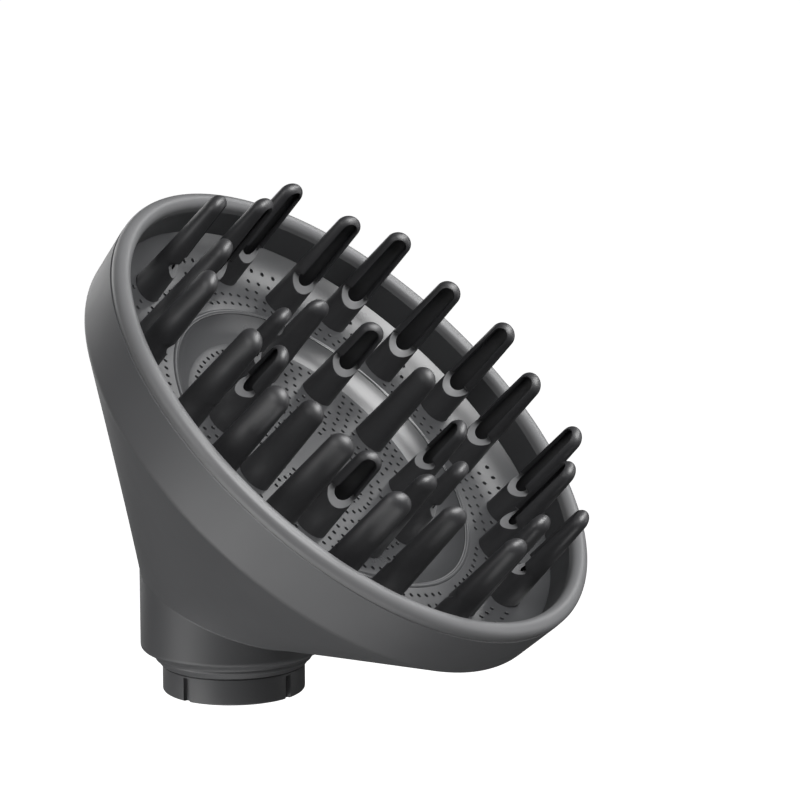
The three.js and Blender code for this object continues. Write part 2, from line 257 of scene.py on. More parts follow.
def plate_triangles(inner_r, outer_r, holes, creases, bends):
    """A plate's face seen from above: its points, each point's hole or None, and its triangles."""
    points, edges, owners = [], [], []
    finder = HoleFinder(holes)

    def add_loop(one, owner=None):
        first = len(points)
        points.extend(one)
        owners.extend([owner] * len(one))
        edges.extend((first + i, first + (i + 1) % len(one)) for i in range(len(one)))

    def add_point(x, y):
        points.append((x, y))
        owners.append(None)

    for r in (inner_r, outer_r, *creases):
        if r:
            add_loop(circle(0, 0, r, ROUND_STEPS))
    for hole in holes:
        add_loop(circle(hole.x, hole.y, hole.mouth, hole.sides), hole)
    for i, r in enumerate(bends):
        for x, y in circle(0, 0, r, ROUND_STEPS, turn=(i % 2) * math.pi / ROUND_STEPS):
            if finder.clear(x, y, BEND_POINT_GAP):
                add_point(x, y)
    if not inner_r:
        add_point(0.0, 0.0)

    flat, _, triangles, origins, _, _ = delaunay_2d_cdt(
        [Vector(p) for p in points], edges, [], 0, MERGE_DISTANCE)
    kept = []
    for tri in triangles:
        centre = sum((flat[i] for i in tri), Vector((0, 0))) / 3
        in_centre_hole = centre.length < inner_r * math.cos(math.pi / ROUND_STEPS)
        if not in_centre_hole and finder.on_plate(centre):
            kept.append(tuple(tri))

    point_owners = [owners[source[0]] if source else None for source in origins]
    for i, owner in enumerate(point_owners):
        if owner and owner.depth_share < 1:
            flat[i] = owner.squeezed(flat[i])
    return flat, point_owners, kept


def pierced_plate(inner_r, outer_r, top, bottom, holes, creases, bends=()):
    """A plate between two radii, with holes through it. top and bottom give its faces' heights
    at a radius. creases are radii with a whole loop of vertices, and bends are radii where the
    faces curve and need vertices between the holes."""
    flat, owners, triangles = plate_triangles(inner_r, outer_r, holes, creases, bends)
    count = len(flat)
    upper = [(p.x, p.y, top(p.length)) for p in flat]
    lower, bevel_foot, bevel_foot_of = [], [], {}
    for i, (p, hole) in enumerate(zip(flat, owners)):
        x, y = p.x, p.y
        if hole and hole.bevel:
            scale = hole.radius / hole.mouth
            x, y = hole.x + (x - hole.x) * scale, hole.y + (y - hole.y) * scale
            bevel_foot_of[i] = 2 * count + len(bevel_foot)
            bevel_foot.append((x, y, top(math.hypot(x, y)) - hole.bevel))
        lower.append((x, y, bottom(math.hypot(x, y))))

    faces = triangles + [tuple(count + i for i in reversed(tri)) for tri in triangles]
    sides = {(tri[i], tri[(i + 1) % 3]) for tri in triangles for i in range(3)}
    for a, b in sides:
        if (b, a) in sides:
            continue  # two triangles share it, so it isn't on a wall
        if a in bevel_foot_of and b in bevel_foot_of:
            foot_a, foot_b = bevel_foot_of[a], bevel_foot_of[b]
            faces.append((foot_a, foot_b, b, a))
            faces.append((count + a, count + b, foot_b, foot_a))
        else:
            faces.append((count + a, count + b, b, a))
    return without_loose(upper + lower + bevel_foot, faces)


def without_loose(verts, faces):
    """Drops the vertices that no face uses."""
    used = sorted({i for face in faces for i in face})
    new_index = {old: new for new, old in enumerate(used)}
    return [verts[i] for i in used], [tuple(new_index[i] for i in face) for face in faces]


# ---------- materials ----------
NOISE_RANGE = (0.3, 0.7)  # a noise texture seldom leaves it
FLOW_SCALE = 22
FLOW_DEPTH = 0.00004  # depths of relief are in metres
WEAR_SCALE = 60
GRAIN_SCALE = 2600
GRAIN_DEPTH = 0.00001
FINE_GRAIN_DEPTH = 0.000006
PRONG_GRAIN_SCALE = 3200
STEEL_TONE_SCALE = 900
STEEL_MARK_SCALE = 2400


class Nodes:
    """Short ways to add and link shader nodes."""

    def __init__(self, name):
        self.material = bpy.data.materials.new(name)
        self.material.use_nodes = True
        self.tree = self.material.node_tree
        self.shader = self.tree.nodes["Principled BSDF"]
        self.place = self.tree.nodes.new("ShaderNodeTexCoord").outputs["Object"]

    def link(self, output, socket):
        self.tree.links.new(output, socket)

    def noise(self, scale, detail=2.0):
        """A noise fixed to the piece."""
        node = self.tree.nodes.new("ShaderNodeTexNoise")
        node.inputs["Scale"].default_value = scale
        node.inputs["Detail"].default_value = detail
        self.link(self.place, node.inputs["Vector"])
        return node.outputs["Fac"]

    def ramp(self, value, low, high):
        """A number that follows a noise, from low to high."""
        node = self.tree.nodes.new("ShaderNodeMapRange")
        node.inputs["From Min"].default_value = NOISE_RANGE[0]
        node.inputs["From Max"].default_value = NOISE_RANGE[1]
        node.inputs["To Min"].default_value = low
        node.inputs["To Max"].default_value = high
        self.link(value, node.inputs["Value"])
        return node.outputs["Result"]

    def colours(self, value, first, second):
        """A colour that follows a noise, between two."""
        node = self.tree.nodes.new("ShaderNodeMix")
        node.data_type = "RGBA"
        factor, a, b = [s for s in node.inputs if s.enabled]
        a.default_value = (*first, 1)
        b.default_value = (*second, 1)
        self.link(self.ramp(value, 0, 1), factor)
        return next(s for s in node.outputs if s.enabled)

    def bump(self, height, strength, distance, normal=None):
        """A surface direction that follows a relief, on top of another one."""
        node = self.tree.nodes.new("ShaderNodeBump")
        node.inputs["Strength"].default_value = strength
        node.inputs["Distance"].default_value = distance
        self.link(height, node.inputs["Height"])
        if normal:
            self.link(normal, node.inputs["Normal"])
        return node.outputs["Normal"]


def moulded_plastic(name, colour, roughness,
                    grain=GRAIN_SCALE, grain_depth=GRAIN_DEPTH, specular=0.5):
    """Moulded plastic: a fine spark-eroded grain, slow flow marks and a faint change of tone."""
    n = Nodes(name)
    darker = tuple(c * 0.95 for c in colour)
    lighter = tuple(c * 1.05 for c in colour)
    flow = n.noise(FLOW_SCALE, detail=3)
    wear = n.ramp(n.noise(WEAR_SCALE, detail=4), roughness - 0.03, roughness + 0.04)
    n.link(n.colours(flow, darker, lighter), n.shader.inputs["Base Color"])
    n.link(wear, n.shader.inputs["Roughness"])
    n.shader.inputs["Specular IOR Level"].default_value = specular
    wave = n.bump(flow, 0.25, FLOW_DEPTH)
    n.link(n.bump(n.noise(grain, detail=1), 0.5, grain_depth, wave), n.shader.inputs["Normal"])
    return n.material


def screw_steel(name):
    """Plain steel with fine marks."""
    n = Nodes(name)
    n.shader.inputs["Metallic"].default_value = 1.0
    tone = n.noise(STEEL_TONE_SCALE, detail=3)
    colour = n.colours(tone, (0.5, 0.5, 0.51), (0.66, 0.66, 0.67))
    n.link(colour, n.shader.inputs["Base Color"])
    n.link(n.ramp(tone, 0.28, 0.42), n.shader.inputs["Roughness"])
    marks = n.bump(n.noise(STEEL_MARK_SCALE), 0.4, GRAIN_DEPTH)
    n.link(marks, n.shader.inputs["Normal"])
    return n.material


SHELL = moulded_plastic("shell_plastic", (0.085, 0.086, 0.089), 0.46)
RIM = moulded_plastic("rim_plastic", (0.125, 0.126, 0.129), 0.40)
PLATE = moulded_plastic("plate_plastic", (0.045, 0.046, 0.048), 0.3,
                        grain_depth=FINE_GRAIN_DEPTH, specular=0.8)
PRONG = moulded_plastic("prong_plastic", (0.022, 0.022, 0.024), 0.47,
                        grain=PRONG_GRAIN_SCALE, grain_depth=FINE_GRAIN_DEPTH, specular=1.0)
# painted highlight: the prongs' own plastic made far lighter on the sill, standing in for the
# light that catches the ledge at each slot's foot
SILL_PAINTED_HIGHLIGHT = moulded_plastic("sill_painted_highlight", (0.18, 0.181, 0.185), 0.45)
INNER = moulded_plastic("inner_plastic", (0.03, 0.03, 0.032), 0.6)
STEEL = screw_steel("screw_steel")


# ---------- housing ----------
NECK_R = 20.5
NECK_BORE_R = 17.8
NECK_FOOT_Z = reach("housing_shell", Vector((0, 0, 1)))[0]
SHOULDER_RISE = 1.75  # from the neck's foot up to its full radius
FOOT_CHAMFER = (0.35, 0.55)  # outwards and upwards, from the bore's lower edge
CREASE_Z = 20.4  # height of the neck's upper edge on its side
CREASE_SLOPE = 0.425  # rise of that edge towards the back, per mm
CREASE_BORE_RISE = 1.2  # the crease inside is this much higher
SKIRT_REAR = (61.05, -13.1)
SKIRT_FRONT = (62.5, -1.3)
SKIRT_LIP_R = 60.3
SKIRT_BORE_R = 60.2
LEDGE_R = 57.6  # shelf that carries the outer plate
LEDGE_H = -10.3
LEDGE_THICK = 0.9
WALL = 2.0
WALL_DROP = 0.8  # the skirt's rear corner inside is this much nearer the rim

FOOT_EASE = 0.15  # how far each rounded corner reaches along its sides
SHOULDER_EASE = 0.8
CREASE_EASE = 0.3
SKIRT_REAR_EASE = 0.9
SKIRT_FRONT_EASE = (0.22, 0.24)


def neck_loop(r, z):
    """A level loop round the neck."""
    return [Vector((x, y, z)) for x, y in circle(0, 0, r, ROUND_STEPS)]


def crease_loop(r, z):
    """A loop round the neck that rises towards the back."""
    return [Vector((x, y, z + y * CREASE_SLOPE)) for x, y in circle(0, 0, r, ROUND_STEPS)]


def dish_loop(r, h):
    """A loop round the dish axis."""
    return [dish_origin + DISH_X * x + DISH_Y * y + DISH_AXIS * h
            for x, y in circle(0, 0, r, ROUND_STEPS)]


def housing():
    """Neck, slanted funnel and skirt in one wall, with the shelf for the outer plate inside."""
    out, up = FOOT_CHAMFER
    bore_foot = neck_loop(NECK_BORE_R, NECK_FOOT_Z)
    foot = neck_loop(NECK_BORE_R + out, NECK_FOOT_Z + up)
    shoulder = neck_loop(NECK_R, NECK_FOOT_Z + SHOULDER_RISE)
    crease = crease_loop(NECK_R, CREASE_Z)
    rear = dish_loop(*SKIRT_REAR)
    front = dish_loop(*SKIRT_FRONT)
    lip = dish_loop(SKIRT_LIP_R, SKIRT_FRONT[1])
    return lofted([
        bore_foot,
        *eased_loops(bore_foot, foot, shoulder, FOOT_EASE, FOOT_EASE, 2),
        *eased_loops(foot, shoulder, crease, SHOULDER_EASE, SHOULDER_EASE),
        *eased_loops(shoulder, crease, rear, CREASE_EASE, CREASE_EASE),
        *eased_loops(crease, rear, front, SKIRT_REAR_EASE, SKIRT_REAR_EASE),
        *eased_loops(rear, front, lip, *SKIRT_FRONT_EASE, 1),
        lip,
        dish_loop(SKIRT_BORE_R, LEDGE_H),
        dish_loop(LEDGE_R, LEDGE_H),
        dish_loop(LEDGE_R, LEDGE_H - LEDGE_THICK),
        dish_loop(SKIRT_REAR[0] - WALL, SKIRT_REAR[1] + WALL_DROP),
        crease_loop(NECK_BORE_R, CREASE_Z + CREASE_BORE_RISE),
    ])


# ---------- spigot ----------
SPIGOT_R = 15.7
SPIGOT_BORE_R = 13.6
SPIGOT_TOP_Z = 13.0
SPIGOT_BORE_TOP_Z = 9.5
SPIGOT_TOP_WALL = 0.9
BORE_EDGE_R = 0.3  # rounding of the lower end's inner edge
FOOT_EDGE_R = 0.5  # and of its outer edge
GROOVE_Z = 5.9
GROOVE_DEPTH = 0.2
GROOVE_HALF_WIDTH = 0.12
GROOVE_SLOPE = 0.18
BEAD_R = 0.5  # curve from the groove up to the shoulder
BEAD_CENTRE = (0.15, 0.6)  # outwards and upwards, from the groove on the spigot's face
SHOULDER_R = 0.75
SHOULDER_CENTRE_Z = 7.75
FLANGE_R = 17.5
FLANGE_STEP = 0.1
FLANGE_STEP_Z = (8.2, 8.35)
NOTCH_COUNT = 4
NOTCH_FIRST = math.radians(-10)
NOTCH_WIDTH = 1.7
NOTCH_DEPTH = 1.1
NOTCH_HEIGHT = 5.3
NOTCH_EDGE_R = 0.18


def spigot():
    """Plug-in tube with a rounded shoulder, still without its notches."""
    groove_r = SPIGOT_R - GROOVE_DEPTH
    groove_end = GROOVE_HALF_WIDTH + GROOVE_SLOPE
    step_low, step_high = FLANGE_STEP_Z
    bead_out, bead_up = BEAD_CENTRE
    shoulder_centre_r = FLANGE_R - FLANGE_STEP - SHOULDER_R
    return turned([
        *arc(SPIGOT_BORE_R + BORE_EDGE_R, BORE_EDGE_R, BORE_EDGE_R, 180, 270, 3),
        *arc(SPIGOT_R - FOOT_EDGE_R, FOOT_EDGE_R, FOOT_EDGE_R, -90, 0, 4),
        (SPIGOT_R, GROOVE_Z - groove_end),
        (groove_r, GROOVE_Z - GROOVE_HALF_WIDTH),
        (groove_r, GROOVE_Z + GROOVE_HALF_WIDTH),
        *arc(SPIGOT_R + bead_out, GROOVE_Z + bead_up, BEAD_R, 250, 330, 3),
        *arc(shoulder_centre_r, SHOULDER_CENTRE_Z, SHOULDER_R, -75, 0, 5),
        (FLANGE_R - FLANGE_STEP, step_low),
        (FLANGE_R, step_high),
        (FLANGE_R, SPIGOT_TOP_Z),
        (FLANGE_R - SPIGOT_TOP_WALL, SPIGOT_TOP_Z),
        (SPIGOT_BORE_R, SPIGOT_BORE_TOP_Z),
    ])


def cutter_box(sizes, matrix):
    """A box with eased edges, as a bmesh in metres."""
    bm = bmesh.new()
    bmesh.ops.create_cube(bm, size=1)
    bmesh.ops.scale(bm, vec=[s * MM for s in sizes], verts=bm.verts)
    bmesh.ops.bevel(bm, geom=list(bm.edges), offset=NOTCH_EDGE_R * MM, segments=2,
                    profile=0.5, affect="EDGES")
    bmesh.ops.transform(bm, matrix=matrix, verts=bm.verts)
    return bm


def notch_cutters():
    """Boxes that cut the key notches out of the spigot's outer face."""
    cutters = []
    for i in range(NOTCH_COUNT):
        turn = Matrix.Rotation(NOTCH_FIRST + FULL_TURN * i / NOTCH_COUNT, 4, "Z")
        out = Matrix.Translation((SPIGOT_R * MM, 0, 0))
        sizes = (2 * NOTCH_DEPTH, NOTCH_WIDTH, 2 * NOTCH_HEIGHT)
        cutters.append(cutter_box(sizes, turn @ out))
    return cutters


def cut(mesh, cutters):
    """Subtracts closed bmesh bodies from a mesh."""
    body = bpy.data.objects.new("body", mesh)
    bpy.context.scene.collection.objects.link(body)
    tools = []
    for bm in cutters:
        tool_mesh = bpy.data.meshes.new("tool")
        bm.to_mesh(tool_mesh)
        bm.free()
        tool = bpy.data.objects.new("tool", tool_mesh)
        bpy.context.scene.collection.objects.link(tool)
        tools.append(tool)
        modifier = body.modifiers.new("cut", "BOOLEAN")
        modifier.operation = "DIFFERENCE"
        modifier.solver = "EXACT"
        modifier.object = tool
    evaluated = body.evaluated_get(bpy.context.evaluated_depsgraph_get())
    result = bpy.data.meshes.new_from_object(evaluated)
    for thing in [body, *tools]:
        bpy.data.objects.remove(thing)
    result.shade_smooth()
    result.set_sharp_from_angle(angle=math.radians(SHARP_DEG))
    return result


# ---------- rim and well wall ----------
ROLL_R = 1.95
ROLL_CENTRE_R = 60.6
ROLL_FROM_DEG = -8  # the roll starts a little below its widest point
ROLL_STEPS = 26
RIM_LIP_R = 62.3
RIM_LIP_EDGE_R = 0.05
RIM_FOOT_H = -1.29
WELL_R = 58.62
WELL_BACK_R = WELL_R + 1.38
WELL_TOP_H = -1.0
WELL_MID_H = -3.0
WELL_FOOT_H = -7.5
WELL_FOOT_CHAMFER = 0.1
WELL_FOOT_STEP = (0.5, 0.3)  # outwards and upwards, from the wall's foot
TUCK = 0.01  # how far the rim clears the wall's top, so that no faces coincide
RIM_BACK_R = WELL_R + 1.4


def rim():
    """Soft rolled rim."""
    return turned([
        *arc(RIM_LIP_R - RIM_LIP_EDGE_R, RIM_FOOT_H + RIM_LIP_EDGE_R, RIM_LIP_EDGE_R, -90, 0, 3),
        *arc(ROLL_CENTRE_R, RIM_TOP_H - ROLL_R, ROLL_R, ROLL_FROM_DEG, 180, ROLL_STEPS),
        (WELL_R, WELL_TOP_H + TUCK),
        (RIM_BACK_R, WELL_TOP_H + TUCK),
        (RIM_BACK_R, RIM_FOOT_H),
    ])


def well_wall():
    """Wall of the well, from under the roll down to the plate."""
    step_out, step_up = WELL_FOOT_STEP
    return turned([
        (WELL_BACK_R, WELL_TOP_H),
        (WELL_R + TUCK, WELL_TOP_H),
        (WELL_R, WELL_MID_H),
        (WELL_R, WELL_FOOT_H + WELL_FOOT_CHAMFER),
        (WELL_R + WELL_FOOT_CHAMFER, WELL_FOOT_H),
        (WELL_R + step_out, WELL_FOOT_H + step_up),
        (WELL_BACK_R, WELL_FOOT_H + step_up),
    ])


# ---------- plates ----------
ROOT_CLEARANCE = 0.05  # round each prong where it comes through its plate
ROOT_HOLE_SIDES = 48
AIR_HOLE_R = 0.5
AIR_HOLE_SIDES = 12
AIR_HOLE_BEVEL = 0.03
AIR_HOLE_MARGIN = 1.0  # plain plate left round each prong
OUTER_HOLE_ROWS = (41.5, 44.3, 47.1, 50.0, 53.0)
OUTER_HOLES_A_ROW = 105
INNER_HOLE_ROW_PITCH = 2.6
INNER_HOLE_PITCH = 2.42
INNER_HOLE_EDGE = 1.0  # plain disc left inside its edge
HUB_MARGIN = 1.1  # from the hub's edge to the first row
INNER_HOLE_SECTORS = 5  # each row's count is a multiple of this
BEND_PITCH = 0.9  # between the loops of vertices on the outer plate's curve
BEND_LOOPS = 14
BAND_LOOPS = 9


def plate_top(r):
    """Height of the outer plate's upper face: a round ridge, flat, then up to the well wall."""
    across = abs(r - RIDGE_R) / RIDGE_HALF_WIDTH
    ridge = RIDGE_RISE * math.sqrt(max(0.0, 1 - across ** 2))
    out = max(0.0, r - PLATE_CURVE_R)
    return PLATE_TOP_H + ridge + PLATE_CURVE - math.sqrt(PLATE_CURVE ** 2 - out ** 2)


def plate_bottom(r):
    """Height of the outer plate's lower face, which has no ridge."""
    out = max(0.0, r - PLATE_CURVE_R)
    return PLATE_TOP_H - PLATE_THICK + PLATE_CURVE - math.sqrt(PLATE_CURVE ** 2 - out ** 2)


def band_top(r):
    """Height of the inner dish's upper face: a flat disc, then a concave band up to the ridge."""
    if r <= DISC_R:
        return DISC_TOP_H
    share = min(1.0, (r - DISC_R) / (BAND_TOP_R - DISC_R))
    foot = DISC_TOP_H - DISC_STEP * min(1.0, (r - DISC_R) / STEP_WIDTH)
    return foot + (BAND_TOP_H - foot) * (share + share ** 3) / 2


def band_bottom(r):
    """Height of the inner dish's lower face."""
    return max(DISC_TOP_H, band_top(r)) - PLATE_THICK


def prong_place(node):
    """Where a prong's axis stands on the dish, from its CAD node."""
    return middle(node, DISH_X), middle(node, DISH_Y) - dish_y


OUTER_PRONGS = sorted(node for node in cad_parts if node.startswith("outer_prong"))
INNER_PRONGS = sorted(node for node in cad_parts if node.startswith("inner_prong"))
outer_places = [prong_place(node) for node in OUTER_PRONGS]
inner_places = [prong_place(node) for node in INNER_PRONGS]


def root_holes(places):
    """Oval holes that the prongs come through."""
    radius = PRONG_ROOT_R + ROOT_CLEARANCE
    return [Hole(x, y, radius, ROOT_HOLE_SIDES, depth_share=ROOT_DEPTH_SHARE)
            for x, y in places]


def hole_row(radius, count, staggered, places):
    """Air holes round one radius, left out where they would come near a prong."""
    row = []
    turn = math.pi / count if staggered else 0.0
    least = PRONG_ROOT_R + AIR_HOLE_MARGIN
    for x, y in circle(0, 0, radius, count, turn):
        if all(math.hypot(x - px, y - py) > least for px, py in places):
            row.append(Hole(x, y, AIR_HOLE_R, AIR_HOLE_SIDES, AIR_HOLE_BEVEL))
    return row


def outer_air_holes():
    """Staggered rows of air holes round the outer plate."""
    holes = []
    for i, radius in enumerate(OUTER_HOLE_ROWS):
        holes.extend(hole_row(radius, OUTER_HOLES_A_ROW, i % 2 == 1, outer_places))
    return holes


def inner_air_holes():
    """Staggered rows of air holes, from the hub out to the disc's edge."""
    holes = []
    radius = HUB_R + HUB_MARGIN
    row = 0
    while radius < DISC_R - INNER_HOLE_EDGE:
        sector_arc = FULL_TURN * radius / INNER_HOLE_SECTORS
        count = INNER_HOLE_SECTORS * round(sector_arc / INNER_HOLE_PITCH)
        holes.extend(hole_row(radius, count, row % 2 == 1, inner_places))
        radius += INNER_HOLE_ROW_PITCH
        row += 1
    return holes


def outer_plate():
    """Perforated ring with a ridge round its inner edge and a curved-up margin."""
    ridge = [RIDGE_R + RIDGE_HALF_WIDTH * math.sin(math.radians(a)) for a in range(-75, 91, 15)]
    rising = [PLATE_CURVE_R + BEND_PITCH * i for i in range(BEND_LOOPS)]
    holes = root_holes(outer_places) + outer_air_holes()
    return pierced_plate(PLATE_INNER_R, PLATE_OUTER_R, plate_top, plate_bottom,
                         holes, ridge, rising)


def inner_dish():
    """Plain hub, perforated disc and sloping band."""
    band_foot_r = DISC_R + STEP_WIDTH
    band_width = BAND_TOP_R - DISC_R - STEP_WIDTH
    band = [DISC_R] + [band_foot_r + band_width * i / BAND_LOOPS for i in range(BAND_LOOPS)]
    holes = root_holes(inner_places) + inner_air_holes()
    return pierced_plate(0, BAND_TOP_R, band_top, band_bottom, holes, band)


# ---------- prongs ----------
OUTER_TIP_H = 16.6
OUTER_SLOT_H = -3.75  # lower end of the outer prongs' slots
INNER_TIP_H = 6.7
INNER_SLOT_H = -6.2
PRONG_WALL = 0.95
PRONG_FOOT_R = 4.45
PRONG_FOOT_THICK = 0.8
FOOT_GAP = 0.3  # between the plate's underside and the prong's foot
OVAL_START = 0.05  # height above the foot at which the prong is oval
ROOT_RISE = 0.1  # height above the plate up to which the prong is straight
BORE_TIP_R = 2.1
BORE_DEPTH_SHARE = 0.62
BORE_END_POWER = 3.0  # 2 would be a round end, and more is squarer

SLOT_LOW_HALF = 2.0
SLOT_TOP_HALF = 1.6
SLOT_TOP_DROP = 1.25  # from the tip down to the slot's upper end
SILL_WIDTH = 1.45  # the ledge at the slot's foot
SILL_DEPTH = 1.35  # how far it runs down below the slot
SILL_FADE = 0.7  # height over which it narrows to the sides' bevel
SILL_ROWS = 13  # rows of the slot's outline that it takes up
SIDE_BEVEL = 0.16
TOP_BEVEL = 0.3
MOUTH_EDGE_R = 0.09

PRONG_STEPS = 44  # facets round a prong
SLOT_LOW_STEPS = 12
SLOT_SIDE_STEPS = 16
SLOT_TOP_STEPS = 8
DOME_STEPS = 7
ROWS_TO_SLOT = (0.4, 0.7, 0.9)  # shares of the way from the plate up to the slot
BORE_ROWS_TO_SLOT = (0, 0.5, 0.9)  # and from the foot, inside
WIDEST_OPENING = 0.97  # half the slot's width over the radius there, at most
PRONG_SHARP_DEG = 42


def oval_row(r, h, open_angle, depth_share):
    """Points round an oval, from one side of the opening at +X to the other."""
    span = FULL_TURN - 2 * open_angle
    angles = [open_angle + span * i / PRONG_STEPS for i in range(PRONG_STEPS + 1)]
    depth = r * depth_share
    return [(depth * math.cos(a), r * math.sin(a), h) for a in angles]


def oval_skin(radius_at, depth_share_at, below, slot, above):
    """Rows of points on an oval surface, closed below and above and open along the slot."""
    rows = [oval_row(r, h, 0.0, depth_share_at(h)) for r, h in below]
    for half, h in slot:
        r = radius_at(h)
        open_angle = math.asin(min(WIDEST_OPENING, half / r))
        rows.append(oval_row(r, h, open_angle, depth_share_at(h)))
    rows += [oval_row(r, h, 0.0, depth_share_at(h)) for r, h in above]
    return rows


class Prong:
    """Hollow tapering oval finger with a domed tip and one long air slot on its +X side."""

    def __init__(self, plate_h, tip_h, slot_h):
        self.plate_h, self.tip_h, self.slot_h = plate_h, tip_h, slot_h
        self.dome_h = tip_h - PRONG_TIP_R
        self.foot_top = plate_h - PLATE_THICK - FOOT_GAP
        self.foot_h = self.foot_top - PRONG_FOOT_THICK

    def depth_share(self, h):
        """Outside thickness along the slot over the width across it. The foot is round."""
        if h < self.foot_top + OVAL_START:
            return 1.0
        share = min(1.0, max(0.0, (h - self.plate_h) / (self.dome_h - self.plate_h)))
        return ROOT_DEPTH_SHARE + (TIP_DEPTH_SHARE - ROOT_DEPTH_SHARE) * share

    def outer_r(self, h):
        """Outside radius across the slot."""
        if h > self.dome_h:
            return math.sqrt(max(0.0, PRONG_TIP_R ** 2 - (h - self.dome_h) ** 2))
        share = (h - self.plate_h) / (self.dome_h - self.plate_h)
        return PRONG_ROOT_R + (PRONG_TIP_R - PRONG_ROOT_R) * share

    def inner_r(self, h):
        """The bore's radius across the slot."""
        if h > self.dome_h:
            up = min(1.0, (h - self.dome_h) / BORE_TIP_R)
            return BORE_TIP_R * (1 - up ** BORE_END_POWER) ** (1 / BORE_END_POWER)
        share = (h - self.foot_h) / (self.dome_h - self.foot_h)
        return (PRONG_ROOT_R - PRONG_WALL) * (1 - share) + BORE_TIP_R * share

    def slot_outline(self):
        """The slot's throat from its lower end up to its top: half width, height, and how far
        outwards and upwards its edge faces there."""
        straight_low = self.slot_h + SLOT_LOW_HALF
        straight_top = self.tip_h - SLOT_TOP_DROP - SLOT_TOP_HALF
        outline = []
        for i in range(SLOT_LOW_STEPS + 1):
            a = math.radians(-90 + 90 * i / SLOT_LOW_STEPS)
            c, s = math.cos(a), math.sin(a)
            outline.append((SLOT_LOW_HALF * c, self.slot_h + SLOT_LOW_HALF * (1 + s), c, s))
        for i in range(1, SLOT_SIDE_STEPS):
            t = i / SLOT_SIDE_STEPS
            half = SLOT_LOW_HALF + (SLOT_TOP_HALF - SLOT_LOW_HALF) * t
            outline.append((half, straight_low + (straight_top - straight_low) * t, 1.0, 0.0))
        for i in range(SLOT_TOP_STEPS + 1):
            a = math.radians(90 * i / SLOT_TOP_STEPS)
            c, s = math.cos(a), math.sin(a)
            outline.append((SLOT_TOP_HALF * c, straight_top + SLOT_TOP_HALF * s, c, s))
        return outline

    def mouth_bevel(self, h):
        """How far the slot's mouth opens out past its throat: wide at the sill, then narrow."""
        up = h - (self.slot_h + SLOT_LOW_HALF)
        share = min(1.0, max(0.0, up / SILL_FADE))
        fade = share * share * (3 - 2 * share)
        return SILL_WIDTH + (SIDE_BEVEL - SILL_WIDTH) * fade

    def mouth(self):
        """(half width, height) of the slot's edge on the prong's outside."""
        edge = []
        for w, h, c, s in self.slot_outline():
            wide = self.mouth_bevel(h)
            rise = wide * SILL_DEPTH / SILL_WIDTH if s < 0 else TOP_BEVEL
            edge.append((max(0.0, w + wide * c), h + rise * s))
        return edge

    def outside_below(self, slot_foot):
        """(radius, height) rows of the outside, from the foot up to the slot."""
        gap = slot_foot - self.plate_h
        heights = [self.plate_h + gap * t for t in ROWS_TO_SLOT]
        return [
            (PRONG_FOOT_R, self.foot_h),
            (PRONG_FOOT_R, self.foot_top),
            (PRONG_ROOT_R, self.foot_top),
            (PRONG_ROOT_R, self.foot_top + OVAL_START),
            (PRONG_ROOT_R, self.plate_h + ROOT_RISE),
            *((self.outer_r(h), h) for h in heights),
        ]

    def inside_below(self, slot_foot):
        """(radius, height) rows of the bore, from its open end up to the slot."""
        gap = slot_foot - self.foot_h
        heights = [self.foot_h + gap * t for t in BORE_ROWS_TO_SLOT]
        return [(self.inner_r(h), h) for h in heights]

    def outside_above(self, slot_top):
        """(radius, height) rows of the outside, from the slot to the tip."""
        start = math.asin((slot_top - self.dome_h) / PRONG_TIP_R)
        rows = []
        for i in range(1, DOME_STEPS):
            a = start + (math.pi / 2 - start) * i / DOME_STEPS
            rows.append((PRONG_TIP_R * math.cos(a), self.dome_h + PRONG_TIP_R * math.sin(a)))
        return [*rows, (0.0, self.tip_h)]

    def inside_above(self, slot_top):
        """(radius, height) rows of the bore, from the slot to its closed end."""
        bore_top = self.dome_h + BORE_TIP_R
        quarter = math.radians(90)
        heights = [slot_top + (bore_top - slot_top) * math.sin(quarter * i / DOME_STEPS)
                   for i in range(1, DOME_STEPS)]
        return [*((self.inner_r(h), h) for h in heights), (0.0, bore_top)]

    def skins(self):
        """The outside's rows and the bore's rows, each with the index of its first slot row, and
        the number of slot rows."""
        throat = [(w, h) for w, h, _, _ in self.slot_outline()]
        mouth = self.mouth()
        outside_below = self.outside_below(mouth[0][1])
        inside_below = self.inside_below(throat[0][1])
        outside = oval_skin(self.outer_r, self.depth_share,
                            outside_below, mouth, self.outside_above(mouth[-1][1]))
        inside = oval_skin(self.inner_r, lambda h: BORE_DEPTH_SHARE,
                           inside_below, throat, self.inside_above(throat[-1][1]))
        return (outside, len(outside_below)), (inside, len(inside_below)), len(throat)

    def stitched(self):
        """Both skins, the foot's underside and the slot's sides as one closed mesh: its verts,
        its faces, which faces are the sill, and the edges round the mouth."""
        (outside, outside_slot), (inside, inside_slot), slot_rows = self.skins()
        verts, index = [], {}

        def vertex(point):
            key = tuple(round(c, 5) for c in point)
            if key not in index:
                index[key] = len(verts)
                verts.append(tuple(point))
            return index[key]

        outer = [[vertex(p) for p in row] for row in outside]
        inner = [[vertex(p) for p in row] for row in inside]
        faces = strip_faces(outer, closed=False)
        faces += strip_faces([list(reversed(row)) for row in inner], closed=False)
        faces += strip_faces([inner[0], outer[0]], closed=False)
        sill_faces, mouth_edges = set(), []
        for k in range(slot_rows - 1):
            o, o_next = outer[outside_slot + k:outside_slot + k + 2]
            i, i_next = inner[inside_slot + k:inside_slot + k + 2]
            first = len(faces)
            faces += strip_faces([[o[0], o_next[0]], [i[0], i_next[0]]], closed=False)
            faces += strip_faces([[o_next[-1], o[-1]], [i_next[-1], i[-1]]], closed=False)
            if k < SILL_ROWS:
                sill_faces.update(range(first, len(faces)))
            mouth_edges += [(o[0], o_next[0]), (o[-1], o_next[-1])]
        return verts, faces, sill_faces, mouth_edges

